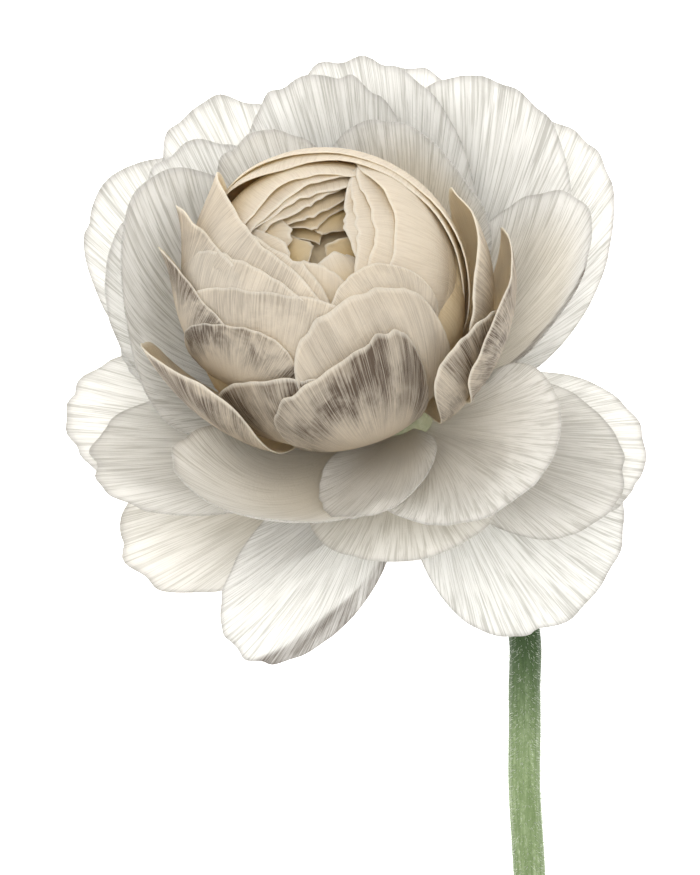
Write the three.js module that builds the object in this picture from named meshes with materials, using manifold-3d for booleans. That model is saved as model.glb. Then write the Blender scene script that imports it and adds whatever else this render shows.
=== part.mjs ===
// A cut ranunculus flower that lies on its back. Millimetres, +Z up, and the photograph looks straight down.
import * as THREE from 'three';
import { mergeVertices } from 'three/addons/utils/BufferGeometryUtils.js';
import Module from 'manifold-3d';

const wasm = await Module();
wasm.setup();

// Driving sizes
const bladeThickness = 0.6;
const bladeColumns = 6;
const outerRows = 3;
const bowlRows = 4;
const eyeRows = 3;
const sepalColumns = 4;
const sepalRows = 2;
const roundSides = 16;
const coreStep = 15;
const stemRings = 26;
const stemSides = 6;
const clearance = 0.3;
const mergeDistance = 0.001;
const marginSweep = 140;
const stemDiameter = 5.6;
const receptacleRadius = 6.5;
const receptacleTop = 7.5;
const receptacleBottom = -1;
const neckRadius = 6;
const calyxRadius = 5.5;
const calyxThickness = 3.4;
const rootRing = 3.5;
const settleSoftness = 1;
const sepalCount = 5;
const sepalLength = 10;
const sepalWidth = 6;
const sepalSpread = 3;
const stemFlat = 0.2;
const heartCoreRadius = 24;
const eyeCoreRadius = 13;

// Heart petals over the first radius start near the claws, and those over the second touch the outer petals
const bowlRadius = 26;
const outermostRadius = 26.8;

// How the photograph's pixels turn into millimetres at a given height above the table
const picture = { mmPerPixel: 0.17, column: 350, row: 437.5, cameraHeight: 650, focusHeight: 30 };

// Where the middle of the photograph lies, seen from the middle of the flower's own box
const pictureMiddle = new THREE.Vector3(-1.1, 41.6, 0);

const degree = Math.PI / 180;

// A point that the photograph shows at a pixel column and row, at a height over the table
function seen([column, row, height]) {
  const distance = picture.cameraHeight - height;
  const scale = (picture.mmPerPixel * distance) / (picture.cameraHeight - picture.focusHeight);
  return new THREE.Vector3((column - picture.column) * scale, (picture.row - row) * scale, height);
}

// Right, up and along directions of an axis that leans from +Z by tilt towards a compass heading
function axisFrame(tilt, heading) {
  const lean = tilt * degree;
  const way = new THREE.Vector3(Math.cos(heading * degree), Math.sin(heading * degree), 0);
  const along = way.clone().multiplyScalar(Math.sin(lean)).setZ(Math.cos(lean));
  const up = way.clone().multiplyScalar(Math.cos(lean)).setZ(-Math.sin(lean));
  const right = new THREE.Vector3(way.y, -way.x, 0);
  return new THREE.Matrix4().makeBasis(right, up, along);
}

const headFrame = axisFrame(42, 114);
const eyeFrame = axisFrame(27, 95);
const headAxis = new THREE.Vector3(0, 0, 1).transformDirection(headFrame);
const receptacle = seen([405, 430, 17]);
const heartCentre = seen([325, 293, 37]);
const focus = receptacle.clone().addScaledVector(headAxis, 70);

// Petals of the heart lie on spheres about its centre. around is the compass direction of the midrib and half
// the half width, in degrees round the axis. rim is the margin's polar angle, counted from the claw end.
const bowlPetals = [
  { around: 262, half: 29, radius: 27.4, rim: 111, slant: 9, widest: 0.78, blunt: 0.6 },
  { around: 238, half: 30, radius: 26.5, rim: 108, slant: 3 },
  { around: 199, half: 29, radius: 28.2, rim: 109, slant: 4, flare: 4.5 },
  { around: 216, half: 31, radius: 26, rim: 126, slant: 6 },
  { around: 276, half: 30, radius: 26.2, rim: 130, widest: 0.76 },
  { around: 188, half: 40, radius: 25.6, rim: 129.5, blunt: 0.6, peel: 12 },
  { around: 186, half: 52, radius: 24.6, rim: 148, slant: 3, blunt: 0.6, peel: 16 },
  { around: 190, half: 78, radius: 24.2, rim: 161.5, blunt: 0.6, peel: 11 },
  { around: 231, half: 48, radius: 25.3, rim: 140.5, blunt: 0.6 },
  { around: 213, half: 50, radius: 24.95, rim: 150, blunt: 0.6 },
  { around: 287, half: 26, radius: 25.4, rim: 137 },
  { around: 347, half: 36, radius: 28.4, rim: 102 },
  { around: 311, half: 23, radius: 30.4, rim: 93, slant: -8 },
  { around: 330, half: 32, radius: 32.2, rim: 92, sink: 8.5, start: 45 },
];
const eyePetals = [
  { around: 60, half: 80, radius: 24.4, rim: 131, slant: 14, start: 60 },
  { around: -2, half: 70, radius: 23.4, rim: 148, blunt: 0.35 },
  { around: -2, half: 66, radius: 22.4, rim: 164, blunt: 0.35 },
  { around: 114, half: 64, radius: 22.2, rim: 153.5, blunt: 0.4, flare: 1 },
  { around: 112, half: 62, radius: 21.1, rim: 162.5, blunt: 0.4, flare: 1 },
  { around: 112, half: 58, radius: 18.9, rim: 170, blunt: 0.4, flare: 1 },
  { around: 200, half: 46, radius: 21, rim: 164 },
  { around: 255, half: 46, radius: 21.4, rim: 164, blunt: 0.5 },
  { around: 290, half: 46, radius: 20.4, rim: 168, blunt: 0.5 },
  { around: 345, half: 55, radius: 22.9, rim: 128, start: 60 },
  { around: 200, half: 60, radius: 17.8, rim: 176 },
];

// Outer petals: where the photograph shows the tip and the middle of the midrib, with their heights
const outerPetals = [
  { tip: [120, 172, 0.6], belly: [237, 312, 1.2], width: 36, cup: 8, bank: 14 },
  { tip: [198, 105, 2], belly: [292, 272, 2.2], width: 33, cup: 8, bank: 8, rise: 1 },
  { tip: [408, 65, 2], belly: [405, 250, 1.2], width: 34, cup: 8 },
  { tip: [563, 124, 1], belly: [494, 286, 3.2], width: 34, cup: 5, bank: -20, rise: 0.5 },
  { tip: [345, 58, 9], belly: [382, 240, 4.8], width: 37, cup: 15, rise: 2 },
  { tip: [308, 76, 15], belly: [352, 250, 6], width: 31, cup: 8, blunt: 0.7, rise: 4 },
  { tip: [484, 76, 10], belly: [462, 250, 6], width: 41, cup: 15, rise: 3 },
  { tip: [402, 126, 23], belly: [407, 250, 10], width: 35, cup: 28, rise: 5.5 },
  { tip: [578, 198, 22], belly: [508, 313, 17], width: 28, cup: 40, rise: 5 },
  { tip: [116, 236, 20], belly: [224, 335, 6.7], width: 34, cup: 25, bank: 8, rise: 2.5 },
  { tip: [170, 152, 20], belly: [270, 300, 7], width: 32, cup: 12, bank: 8, rise: 3.5 },
  { tip: [243, 138, 28], belly: [308, 270, 9.2], width: 29, cup: 25, rise: 5.5 },
  { tip: [124, 212, 38], belly: [216, 335, 10.4], width: 48, cup: 45, bank: 8, rise: 5.5 },
  { tip: [67, 421, 14], belly: [240, 432, 9], width: 37, cup: 8 },
  { tip: [120, 355, 15], belly: [250, 395, 9.5], width: 14, cup: 10, rise: 1.5 },
  { tip: [92, 465, 21], belly: [250, 452, 15.5], width: 30, cup: 15, rise: 3 },
  { tip: [124, 557, 12], belly: [278, 492, 11], width: 31, cup: 10, bank: 10 },
  { tip: [215, 588, 8], belly: [320, 505, 9], width: 20, cup: 10, rise: 1 },
  { tip: [236, 651, 26], belly: [322, 552, 20], width: 23, cup: 20, bank: 30, rise: 0.5 },
  { tip: [596, 592, 16], belly: [505, 515, 16], width: 41, cup: 8, rise: 1.5 },
  { tip: [645, 462, 12], belly: [520, 446, 12], width: 34, cup: 8, rise: 1 },
  { tip: [622, 488, 18], belly: [510, 455, 17.5], width: 32, cup: 10, rise: 3 },
  { tip: [432, 557, 38], belly: [414, 493, 26], width: 38, cup: 30, rise: 4 },
  { tip: [515, 504, 44], belly: [466, 461, 30], width: 41, cup: 50, rise: 4 },
  { tip: [342, 521, 44], belly: [386, 470, 33], width: 20, cup: 30, rise: 5.5 },
  { tip: [172, 458, 42], belly: [290, 500, 32], width: 37, cup: 30, bank: -6, rise: 5 },
];

// Where the stem lies on the table, from the bend under the bloom to its cut end
const stemCourse = [[24, -23], [30.5, -33], [31, -46], [31, -62], [32, -80], [32.8, -105], [31, -150]];

// Margin of a petal of unit length and unit half width, for u from -1 to 1 round it from claw to claw
function margin(u, { widest, blunt, taper }) {
  const turn = u * marginSweep * degree;
  const forward = Math.cos(turn);
  const reach = forward > 0 ? widest + (1 - widest) * forward ** blunt : widest + widest * forward;
  return { reach, side: Math.sign(u) * Math.abs(Math.sin(turn)) ** (forward > 0 ? 0.9 : taper) };
}

// A petal spreads from its claw at v = 0 to its margin at v = 1
function spread(u, v, shape) {
  const edge = margin(u, shape);
  return { along: edge.reach * v, across: shape.claw * u * (1 - v) + edge.side * v ** 1.25 };
}

// Middle surface of a heart petal, in the frame of the axis that it wraps
function heartPoint(petal, frame, u, v) {
  const { around, half, radius, rim, slant = 0, sink = 3, blunt = 0.75 } = petal;
  const [claw, middle] = radius > bowlRadius ? [25, 0.72] : [90, 0.3];
  const { start = claw, widest = middle } = petal;
  const { along, across } = spread(u, v, { widest, blunt, taper: 0.9, claw: 0.35 });
  const polar = (start + (rim - start) * along + slant * across * v) * degree;
  const compass = (around + half * across) * degree;
  const { flare = 0, peel = 0 } = petal;
  const lift = flare * along ** 3 + peel * (Math.max(-across, 0) * along) ** 3;
  const distance = radius + lift - sink * (1 - Math.min(along, 1)) ** 3;
  const flat = distance * Math.sin(polar);
  const height = -distance * Math.cos(polar);
  const point = new THREE.Vector3(flat * Math.cos(compass), flat * Math.sin(compass), height);
  return point.applyMatrix4(frame).add(heartCentre);
}

// Where an outer petal leaves the receptacle
function petalRoot(belly, rise) {
  const out = belly.clone().sub(receptacle);
  out.addScaledVector(headAxis, -out.dot(headAxis)).setLength(rootRing);
  return receptacle.clone().add(out).addScaledVector(headAxis, rise);
}

// Middle surface of an outer petal: a bent midrib with a curved section across it
function outerPoint(petal, u, v) {
  const { width, cup = 20, bank = 0, rise = 0, widest = 0.6, blunt = 1, claw = 0.12 } = petal;
  const tip = seen(petal.tip);
  const belly = seen(petal.belly);
  const root = petalRoot(belly, rise);
  const control = belly.clone().multiplyScalar(2).addScaledVector(root, -0.5).addScaledVector(tip, -0.5);
  const midrib = new THREE.QuadraticBezierCurve3(root, control, tip);
  const { along, across } = spread(u, v, { widest, blunt, taper: 1.6, claw });
  const tangent = midrib.getTangent(along);
  const side = new THREE.Vector3().crossVectors(tangent, focus.clone().sub(belly)).normalize();
  const inward = new THREE.Vector3().crossVectors(side, tangent);
  side.applyAxisAngle(tangent, -bank * degree);
  inward.applyAxisAngle(tangent, -bank * degree);
  const half = width / 2;
  const bend = cup * degree * across;
  const bow = half / (cup * degree);
  const point = midrib.getPoint(along);
  point.addScaledVector(side, bow * Math.sin(bend)).addScaledVector(inward, bow * (1 - Math.cos(bend)));
  return point.setZ(settled(point.z));
}

// A petal that would sink into the table lies on it instead
function settled(height) {
  const above = height - bladeThickness / 2;
  return bladeThickness / 2 + (above + Math.hypot(above, settleSoftness)) / 2;
}

// A closed blade of even thickness about a middle surface, cut into triangles alike on both faces
function blade(pointAt, columns, rows, thickness) {
  const step = 0.001;
  const points = [];
  for (const face of [1, -1]) {
    for (let row = 0; row <= rows; row += 1) {
      for (let column = 0; column <= columns; column += 1) {
        const u = (2 * column) / columns - 1;
        const v = row / rows;
        const middle = pointAt(u, v);
        const inner = Math.max(v, 0.02);
        const acrossStep = pointAt(u + step, inner).sub(pointAt(u - step, inner));
        const alongStep = pointAt(u * 0.98, inner + step).sub(pointAt(u * 0.98, inner - step));
        const normal = acrossStep.cross(alongStep).normalize();
        points.push(middle.addScaledVector(normal, (face * thickness) / 2));
      }
    }
  }
  return closedGrid(points, columns, rows);
}

// Joins two grids of points, one over the other, into a closed surface
function closedGrid(points, columns, rows) {
  const index = [];
  const at = (face, row, column) => (face * (rows + 1) + row) * (columns + 1) + column;
  for (let row = 0; row < rows; row += 1) {
    for (let column = 0; column < columns; column += 1) {
      const corners = [[row, column], [row, column + 1], [row + 1, column + 1], [row + 1, column]];
      const [a, b, c, d] = corners.map(([r, k]) => at(0, r, k));
      const [e, f, g, h] = corners.map(([r, k]) => at(1, r, k));
      index.push(a, b, c, a, c, d, e, g, f, e, h, g);
    }
  }
  const border = [];
  for (let column = 0; column < columns; column += 1) {
    border.push([0, column]);
  }
  for (let row = 0; row < rows; row += 1) {
    border.push([row, columns]);
  }
  for (let column = columns; column > 0; column -= 1) {
    border.push([rows, column]);
  }
  for (let row = rows; row > 0; row -= 1) {
    border.push([row, 0]);
  }
  border.forEach(([row, column], place) => {
    const [nextRow, nextColumn] = border[(place + 1) % border.length];
    const [a, b] = [at(0, row, column), at(0, nextRow, nextColumn)];
    const [c, d] = [at(1, row, column), at(1, nextRow, nextColumn)];
    index.push(b, a, c, b, c, d);
  });
  const geometry = new THREE.BufferGeometry().setFromPoints(points);
  geometry.setIndex(index);
  return geometry;
}

function toSolid(geometry) {
  geometry.deleteAttribute('normal');
  geometry.deleteAttribute('uv');
  const merged = mergeVertices(geometry, mergeDistance);
  const vertProperties = new Float32Array(merged.attributes.position.array);
  const triVerts = new Uint32Array(merged.index.array);
  return new wasm.Manifold(new wasm.Mesh({ numProp: 3, vertProperties, triVerts }));
}

function toGeometry(solid) {
  const { vertProperties, triVerts } = solid.getMesh();
  const geometry = new THREE.BufferGeometry();
  geometry.setAttribute('position', new THREE.BufferAttribute(new Float32Array(vertProperties), 3));
  geometry.setIndex(new THREE.BufferAttribute(new Uint32Array(triVerts), 1));
  geometry.computeVertexNormals();
  return geometry;
}

function union(solids) {
  return wasm.Manifold.union(solids);
}

// The largest body of a solid, without the scraps and pinholes that cuts leave
function largest(solid) {
  const bodies = solid.decompose();
  bodies.sort((a, b) => b.volume() - a.volume());
  return bodies[0];
}

// Vertices that nearly touch are joined, which can close a pinhole, so the largest body is taken twice
function whole(solid) {
  return largest(toSolid(toGeometry(largest(solid))));
}

// A round disc on the flower's axis, between two heights over the receptacle
function disc(radius, low, high) {
  const geometry = new THREE.CylinderGeometry(radius, radius, high - low, roundSides);
  geometry.rotateX(90 * degree);
  geometry.applyMatrix4(headFrame);
  const middle = receptacle.clone().addScaledVector(headAxis, (low + high) / 2);
  geometry.translate(middle.x, middle.y, middle.z);
  return toSolid(geometry);
}

// The solid heart of the bloom behind its petals, wide at the claws and small under the eye
function core() {
  const profile = [];
  const addArc = (radius, first, last) => {
    for (let polar = first; polar <= last; polar += coreStep) {
      profile.push(new THREE.Vector2(radius * Math.sin(polar * degree), -radius * Math.cos(polar * degree)));
    }
  };
  addArc(heartCoreRadius, 0, 90);
  addArc(eyeCoreRadius, 135, 180);
  const geometry = new THREE.LatheGeometry(profile, roundSides);
  geometry.rotateX(90 * degree);
  geometry.applyMatrix4(headFrame);
  geometry.translate(heartCentre.x, heartCentre.y, heartCentre.z);
  return toSolid(geometry);
}

function heartBlade(petal, frame, thickness) {
  const rows = petal.radius > bowlRadius ? bowlRows : eyeRows;
  return toSolid(blade((u, v) => heartPoint(petal, frame, u, v), bladeColumns, rows, thickness));
}

function heart() {
  const below = disc(receptacleRadius + clearance, receptacleBottom - 5, receptacleTop + clearance);
  const neck = disc(neckRadius, receptacleTop + clearance, receptacleTop + 6);
  const bowl = bowlPetals.map((petal) => heartBlade(petal, headFrame, bladeThickness));
  const folds = eyePetals.map((petal) => heartBlade(petal, eyeFrame, bladeThickness));
  return union([core(), neck, ...bowl, ...folds]).subtract(below);
}

// The room that the heart's outermost petals need
function heartRoom() {
  const thickness = bladeThickness + 2 * clearance;
  const wide = (petal) => ({ ...petal, half: petal.half + 1, rim: petal.rim + 1 });
  const outermost = bowlPetals.filter((petal) => petal.radius > outermostRadius);
  const walls = outermost.map((petal) => heartBlade(wide(petal), headFrame, thickness));
  const neckRoom = disc(neckRadius + clearance, receptacleTop, receptacleTop + 6);
  return union([neckRoom, ...walls, heartBlade(wide(eyePetals[0]), eyeFrame, thickness)]);
}

function outerBlade(petal, thickness) {
  return toSolid(blade((u, v) => outerPoint(petal, u, v), bladeColumns, outerRows, thickness));
}

function outer() {
  const blades = outerPetals.map((petal) => outerBlade(petal, bladeThickness));
  const knob = disc(receptacleRadius, receptacleBottom, receptacleTop);
  return union([knob, ...blades]).subtract(heartRoom());
}

// The green cup under the petals, with five sepals folded back along the stem
function calyx() {
  const top = receptacleBottom - clearance;
  const sepals = [];
  for (let turn = 0; turn < sepalCount; turn += 1) {
    const around = (turn * 360) / sepalCount;
    const sepal = blade((u, v) => sepalPoint(around, u, v), sepalColumns, sepalRows, bladeThickness);
    sepals.push(toSolid(sepal));
  }
  const cup = union([disc(calyxRadius, top - calyxThickness, top), ...sepals]);
  return cup.subtract(petalRoom());
}

// The room that the lowest petals need over the calyx
function petalRoom() {
  const lowest = outerPetals.filter(({ rise = 0 }) => rise < 2);
  return union(lowest.map((petal) => outerBlade(petal, bladeThickness + 2 * clearance)));
}

function sepalPoint(around, u, v) {
  const { along, across } = spread(u, v, { widest: 0.45, blunt: 1, taper: 1, claw: 0.3 });
  const compass = around * degree + (across * sepalWidth) / 2 / calyxRadius;
  const radius = calyxRadius - 1 + sepalSpread * along ** 1.5;
  const height = receptacleBottom - clearance - calyxThickness / 2 - sepalLength * along;
  const point = new THREE.Vector3(radius * Math.cos(compass), radius * Math.sin(compass), height);
  return point.applyMatrix4(headFrame).add(receptacle);
}

// The stem leaves the calyx along the flower's axis, bends down and lies on the table to its cut end
function stem() {
  const radius = stemDiameter / 2;
  const start = receptacleBottom - calyxThickness - 2 * clearance;
  const along = (height) => receptacle.clone().addScaledVector(headAxis, height);
  const lying = stemCourse.map(([x, y]) => new THREE.Vector3(x, y, radius - stemFlat));
  const course = new THREE.CatmullRomCurve3([along(start + 2), along(start), along(start - 6), ...lying]);
  const section = new THREE.Shape();
  section.absarc(0, 0, radius, 0, 360 * degree);
  const sweep = { steps: stemRings, curveSegments: stemSides, extrudePath: course };
  const tube = new THREE.ExtrudeGeometry(section, sweep);
  const cutTop = headAxis.clone().negate();
  const topOffset = -receptacle.dot(headAxis) - start;
  return toSolid(tube).trimByPlane(cutTop.toArray(), topOffset).trimByPlane([0, 0, 1], 0);
}

function part(name, solid, color, roughness) {
  const material = new THREE.MeshStandardMaterial({ color, roughness, metalness: 0 });
  const mesh = new THREE.Mesh(toGeometry(solid), material);
  mesh.name = name;
  return mesh;
}

const flower = new THREE.Group();
flower.position.copy(pictureMiddle);
flower.add(part('heart', whole(heart()), 0xf0e7cf, 0.7));
flower.add(part('outer_petals', whole(outer()), 0xf2efe6, 0.7));
flower.add(part('calyx', whole(calyx()), 0x7f9a5c, 0.7));
flower.add(part('stem', whole(stem()), 0x5f7f4a, 0.65));

export default flower;
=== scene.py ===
"""A cut ranunculus flower that lies on its back: fine petals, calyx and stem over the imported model."""
import math

import bpy
import numpy as np
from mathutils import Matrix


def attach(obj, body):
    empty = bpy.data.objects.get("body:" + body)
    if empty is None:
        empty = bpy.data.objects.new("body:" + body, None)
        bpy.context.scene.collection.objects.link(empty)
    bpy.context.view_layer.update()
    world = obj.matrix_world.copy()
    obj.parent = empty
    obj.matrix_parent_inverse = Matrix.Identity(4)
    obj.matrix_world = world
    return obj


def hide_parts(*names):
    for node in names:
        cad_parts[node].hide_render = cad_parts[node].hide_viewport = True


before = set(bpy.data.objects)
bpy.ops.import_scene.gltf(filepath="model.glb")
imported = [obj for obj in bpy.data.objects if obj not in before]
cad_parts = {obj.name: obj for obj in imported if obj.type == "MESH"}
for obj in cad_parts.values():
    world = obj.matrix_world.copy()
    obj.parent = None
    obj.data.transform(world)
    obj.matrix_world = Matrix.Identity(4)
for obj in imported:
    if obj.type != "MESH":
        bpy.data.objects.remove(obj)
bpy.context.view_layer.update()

# Lengths are in millimetres until a mesh is written
MM = 0.001
DEGREE = math.pi / 180

# Driving sizes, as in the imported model
LEAST_HEIGHT = 0.3
SETTLE_SOFTNESS = 1.0
STEM_DIAMETER = 5.6
STEM_FLAT = 0.2
RECEPTACLE_BOTTOM = -1.0
CALYX_RADIUS = 5.5
CALYX_THICKNESS = 3.4
CLEARANCE = 0.3
ROOT_RING = 3.5
OUTERMOST_RADIUS = 26
HEART_CORE_RADIUS = 24.0
EYE_CORE_RADIUS = 13.0
SEPAL_COUNT = 5
SEPAL_LENGTH, SEPAL_WIDTH, SEPAL_SPREAD = 10.0, 6.0, 3.0

# Outline of a petal: its sweep from claw to claw in degrees, and how its side and its spread curve
MARGIN_SWEEP = 140
SIDE_CURVE, SPREAD_CURVE = 0.9, 1.25

# Polar angle at the claw and widest place of the heart's outermost petals, and of those that wrap the eye
OUTERMOST_FORM, WRAPPED_FORM = (25, 0.72), (90, 0.3)
HEART_BLUNT, HEART_TAPER, HEART_CLAW = 0.75, 0.9, 0.35
HEART_SINK = 3
OUTER_WIDEST, OUTER_BLUNT, OUTER_TAPER, OUTER_CLAW = 0.6, 1, 1.6, 0.12
SEPAL_SHAPE = (0.45, 1, 1, 0.3)

# Columns, rows and thickness of each kind of petal
BOWL_BLADE = (60, 40, 0.4)
EYE_BLADE = (60, 40, 0.35)
OUTER_BLADE = (84, 52, 0.36)
SEPAL_BLADE = (30, 30, 0.5)
MARGIN_THINNING = 0.45
NORMAL_STEP, NORMAL_INSET = 0.001, 0.02

# First seed of each kind of petal, and what each kind of waviness adds to it
BOWL_SEED, EYE_SEED, OUTER_SEED, SEPAL_SEED = 1, 31, 51, 81
RIPPLE_SEED, PLEAT_SEED, CRINKLE_SEED, NICK_SEED = 300, 500, 600, 900
VEIN_SHIFT = 3

# Waves are (count, lowest frequency, highest frequency)
WAVER_WAVES, RIPPLE_WAVES, CRINKLE_WAVES = (6, 8, 50), (4, 2, 9), (5, 4, 22)

# Waviness of a petal: shares of its length at the margin, and heights off its middle surface
WAVER_DEPTH, NICK_DEPTH = 0.007, 0.014
NICK_COUNT, NICK_WIDTH = 3, 0.03
NICK_SIZES, NICK_PLACES = (0.2, 1), (-0.7, 0.7)
RIPPLE_LEAN, RIPPLE_GROWTH = 0.3, 2.5
CRINKLED_STRIP = (0.86, 1)
PLEAT_HEIGHT = 0.02
PLEAT_COUNTS = (11, 17, 23, 31)
PLEATED_PART = (0.1, 0.6)
HEART_RUFFLE, HEART_CRINKLE = 0.25, 0.22
OUTER_RUFFLE, OUTER_CRINKLE = 0.6, 0.18
SEPAL_RUFFLE = 0.25

# Where the tones of a petal change, from its claw at 0 to its margin at 1
# Streaks with painted shade grow from the middle of a petal towards its margin and mostly clear just before
# it
STREAKS_AND_SHADE_GROWS, STREAKS_AND_SHADE_ENDS = (0.45, 0.88), (0.98, 0.998)
# Painted golden light fades from a petal's depths towards its margin
FILTERED_LIGHT_FADES = (0.75, 1)
# The beige with painted shade fades from the claw towards the tip
BEIGE_AND_SHADE_FADES = (0.2, 1)
EDGE_STARTS = (0.975, 0.995)
# A strip of painted shade for a margin that turns over in the flower: its width, how far it takes to grow in,
# and its softness
FOLD_SHADE_WIDTH, FOLD_SHADE_ONSET, FOLD_SHADE_SOFTNESS = 0.2, 0.4, 0.04

# Strengths of the tones
# How far the rim and the sides are spared the streaks and painted shade, and how far the inner face is spared
# these and the beige with painted shade
SPARED_RIM = 0.8
SPARED_SIDES = 0.25
SPARED_INSIDE = 0.9
# How much of the beige and painted shade the tip is spared
SPARED_TIP = 0.75
FOLD_SHADE_STRENGTH = 0.8
# Painted golden light: how far deep petals keep it out to their margin, and how much the inner faces and the
# core take
DEEP_FILTERED_LIGHT, DEEP_FILTERED_LIGHT_GAIN = 0.5, 1.2
INNER_FILTERED_LIGHT = 0.15
CORE_FILTERED_LIGHT = 0.5

# Bodies turned about the bloom's axis, as (radius, height over the receptacle) pairs
KNOB = [(0.2, -0.95), (5.6, -0.95), (6.4, 0.6), (6.5, 3.5), (6.3, 6.4), (5.2, 7.4), (0.2, 7.5)]
NECK = [(0.2, 7.85), (5.6, 7.85), (5.9, 9), (5.9, 12.5), (5.4, 13.4), (0.2, 13.4)]
ROUND_TURNS = 48
ROUNDINGS, CORNER_CUT = 3, 0.25
LOBE_COUNT, LOBE_TWIST = 9, 0.12
CORE_LEVELS = 41
CORE_START, CORE_SWEEP = 5, 170
CORE_NARROWS = (80, 140)
CORE_LOBES, CUP_LOBES, KNOB_LOBES = 0.02, 0.02, 0.01

# The stem: its ribs as (depth, count, turn per millimetre), its cut end and the shade under the bloom
STEM_TURNS = 64
STEM_POINTS = 40
STEM_RIBS = ((0.012, 11, 0.02), (0.008, 3, 0.3))
CUT_RINGS = (0.97, 0.9, 0.75, 0.5, 0.25, 0.05)
SHADE_ENDS = (42, 68)
UV_LENGTH = 20

# Hairs: the stem's bare ends, how far round it they grow in half turns, how they lean, and their lengths
HAIR_SEED = 7
HAIR_COUNT = 4500
HAIR_WIDTH, HAIR_ROOT = 0.09, 0.1
BARE_TOP, BARE_END = 4, 0.5
HAIR_PLACES = (-0.15, 1.15)
HAIR_LEAN, HAIR_SWAY = (0.1, 0.7), (-0.3, 0.3)
HAIR_LENGTHS = (0.5, 1.3)
HAIR_FACES = ((0, 1, 2), (0, 3, 1), (1, 3, 2), (2, 3, 0))

# Colours and strengths of the petals' tissue. The claw colour is a beige that comes with painted shade; the
# heart's rim colour is a painted highlight and the outer petals' rim colour a darker line at the margin
HEART_TISSUE = dict(
    base=(0.90, 0.825, 0.70, 1), through=(1, 0.96, 0.82, 1), veins=(0.66, 0.57, 0.44, 1),
    claw=(0.74, 0.62, 0.46, 1), rim=(1.0, 0.96, 0.87, 1),
    translucence=0.4, vein_strength=0.35, rim_line_and_highlight_strength=0.65, fineness=300,
)
OUTER_TISSUE = dict(
    base=(0.945, 0.94, 0.925, 1), through=(1, 0.995, 0.98, 1), veins=(0.52, 0.51, 0.47, 1),
    claw=(0.76, 0.71, 0.62, 1), rim=(0.40, 0.37, 0.33, 1),
    translucence=0.6, vein_strength=0.65, rim_line_and_highlight_strength=0.35, fineness=230,
)
# Painted golden light, for light that comes through stacked petals
FILTERED_LIGHT_COLOUR = (0.78, 0.60, 0.28, 1)
# Dark grey-brown for streaks in the tissue together with painted shade on the near side's outer faces
STREAKS_AND_SHADE_COLOUR = (0.15, 0.11, 0.078, 1)
VEIN_STEP, STREAK_STEP, PATCH_STEP = (0.42, 0.66), (0.34, 0.64), (0.3, 0.68)
LEAST_PATCH, LEAST_STREAK = 0.3, 0.45
PETAL_SKIN = {"Roughness": 0.6, "Specular IOR Level": 0.25}
PETAL_RELIEF, FINE_HEIGHT, CREPE_HEIGHT = 0.6, 0.6, 0.5
RELIEF_DEPTH = 0.0004

# Noises are (frequency across, frequency along, detail), and the fine veins take the first from the tissue
VEIN_NOISE = (3.6, 3)
BROAD_NOISE, CREPE_NOISE = (8, 2.4, 4), (40, 62, 3)
RIB_NOISE, MOTTLE_NOISE = (30, 1.5, 3), (16, 20, 4)
NOISE_LOOK = {"Scale": 1.0, "Roughness": 0.6, "Distortion": 0.8}

# Base, dark and pale colours of the green skins
STEM_GREENS = ((0.15, 0.215, 0.08, 1), (0.02, 0.055, 0.008, 1), (0.34, 0.42, 0.23, 1))
CALYX_GREENS = ((0.30, 0.42, 0.16, 1), (0.16, 0.26, 0.09, 1), (0.56, 0.64, 0.34, 1))
KNOB_GREENS = ((0.50, 0.53, 0.33, 1), (0.36, 0.42, 0.20, 1), (0.64, 0.65, 0.46, 1))
CUT_GREEN = (0.66, 0.72, 0.48, 1)
RIB_STEP, MOTTLE_STEP, FLECK_STEP = (0.35, 0.7), (0.42, 0.62), (0.5, 0.72)
FLECK_STRENGTH, SHADE_STRENGTH = 0.6, 0.92
GREEN_SKIN = {"Roughness": 0.5, "Specular IOR Level": 0.35}
GREEN_RELIEF, MOTTLE_HEIGHT = 0.7, 0.8
HAIR_COLOURS = ((0.72, 0.80, 0.62, 1), (0.90, 0.93, 0.84, 1))
HAIR_NOISE_SCALE = 300.0

# Camera and stage, in metres and watts
LENS = 150
CAMERA_REACH = 20
FLOOR_SIZE = 6
FLOOR_COLOUR, FLOOR_ROUGHNESS = (0.9, 0.9, 0.9, 1), 0.8
WHITE = (1, 1, 1, 1)
FLOOR_GLOW, WORLD_GLOW = 0.85, 0.65
KEY_LIGHT = dict(place=(-0.1, 0.35, 1.4), size=1.0, power=16)
FILL_LIGHT = dict(place=(0.2, -1.0, 0.9), size=1.2, power=3)

# How the photograph's pixels turn into millimetres at a given height above the table
MM_PER_PIXEL = 0.17
PICTURE_COLUMN, PICTURE_ROW = 350.0, 437.5
CAMERA_HEIGHT, FOCUS_HEIGHT = 650.0, 30.0
PICTURE_MIDDLE = np.array([-1.1, 41.6, 0.0])

# Where the photograph shows the receptacle and the heart's centre, and the tilt and heading of their axes
RECEPTACLE_SEEN, HEART_SEEN = (405, 430, 17), (325, 293, 37)
HEAD_LEAN, EYE_LEAN = (42, 114), (27, 95)
FOCUS_DISTANCE = 70


def seen(column, row, height):
    """The point that the photograph shows at a pixel, at a height over the table."""
    scale = MM_PER_PIXEL * (CAMERA_HEIGHT - height) / (CAMERA_HEIGHT - FOCUS_HEIGHT)
    return np.array([(column - PICTURE_COLUMN) * scale, (PICTURE_ROW - row) * scale, height])


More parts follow.
